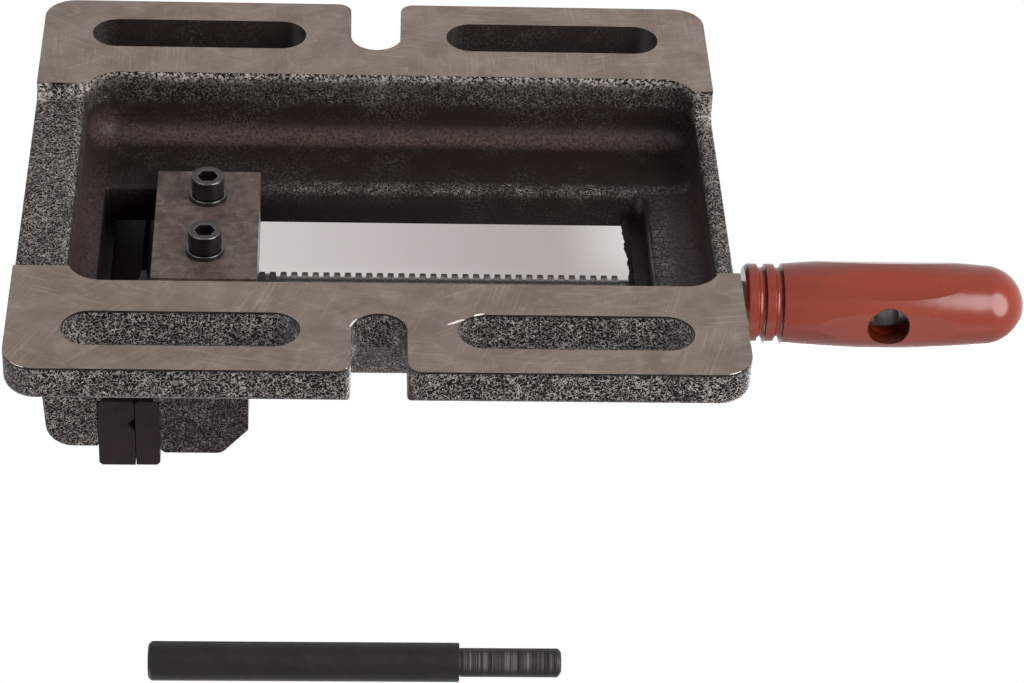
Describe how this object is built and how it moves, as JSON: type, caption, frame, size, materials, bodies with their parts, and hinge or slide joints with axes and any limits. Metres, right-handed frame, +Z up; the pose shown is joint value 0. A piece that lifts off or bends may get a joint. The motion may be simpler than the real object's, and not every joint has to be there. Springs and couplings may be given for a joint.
{
  "type": "drill press vise",
  "caption": "Quick-action drill press vise: slotted cast base with a fixed jaw, a jaw that slides along a rack, a spindle handle with a moulded grip, and a loose tommy bar.",
  "frame": {"origin": "centre of the four bolt slots, on the plane of the machined pads that the base stands on", "axes": "+X along the jaw's travel towards the handle, +Y towards the rack side, +Z up"},
  "size_m": [0.2914, 0.2954, 0.0668],
  "materials": {
    "hammertone": "hammertone paint, ground pads below",
    "hammertone_fine": "hammertone paint",
    "cast_teeth": "as cast, painted",
    "black_oxide": "black oxide",
    "mill_steel": "mottled mill finish",
    "turned_steel": "turned",
    "bronze": "turned",
    "red_grip": "glossy moulded",
    "bar_black": "black oxide"
  },
  "bodies": {
    "base": {"base_casting": "hammertone", "fixed_jaw_plate": "black_oxide", "fixed_jaw_screws": "black_oxide", "rack": "cast_teeth", "rack_screws": "black_oxide"},
    "jaw": {"sliding_jaw": "hammertone_fine", "moving_jaw_plate": "black_oxide", "moving_jaw_screws": "black_oxide", "keeper_plate": "mill_steel", "keeper_screws": "black_oxide", "keeper_washers": "black_oxide", "spindle_bush": "bronze"},
    "handle": {"spindle": "turned_steel", "thrust_washer": "turned_steel", "retaining_ring": "black_oxide", "grip": "red_grip"},
    "nut": {"swing_nut": "turned_steel"},
    "bar": {"tommy_bar": "bar_black"}
  },
  "joints": [
    {"name": "jaw_slide", "type": "slide", "parent": "base", "child": "jaw", "axis": [1, 0, 0], "range_m": [0, 0.10666]},
    {"name": "handle_turn", "type": "hinge", "parent": "jaw", "child": "handle", "pos_m": [-0.0359, 0, 0.0442], "axis": [1, 0, 0], "range_deg": [0, 90]},
    {"name": "nut_swing", "type": "hinge", "parent": "jaw", "child": "nut", "pos_m": [-0.0572, 0, 0.0442], "axis": [1, 0, 0], "range_deg": [0, 9]},
    {"name": "bar_lift", "type": "slide", "parent": "base", "child": "bar", "axis": [0, 0, 1], "range_m": [0, 0.1]}
  ],
  "couplings": [
    {"joint": "nut_swing", "follows": "handle_turn", "ratio": 0.1}
  ]
}
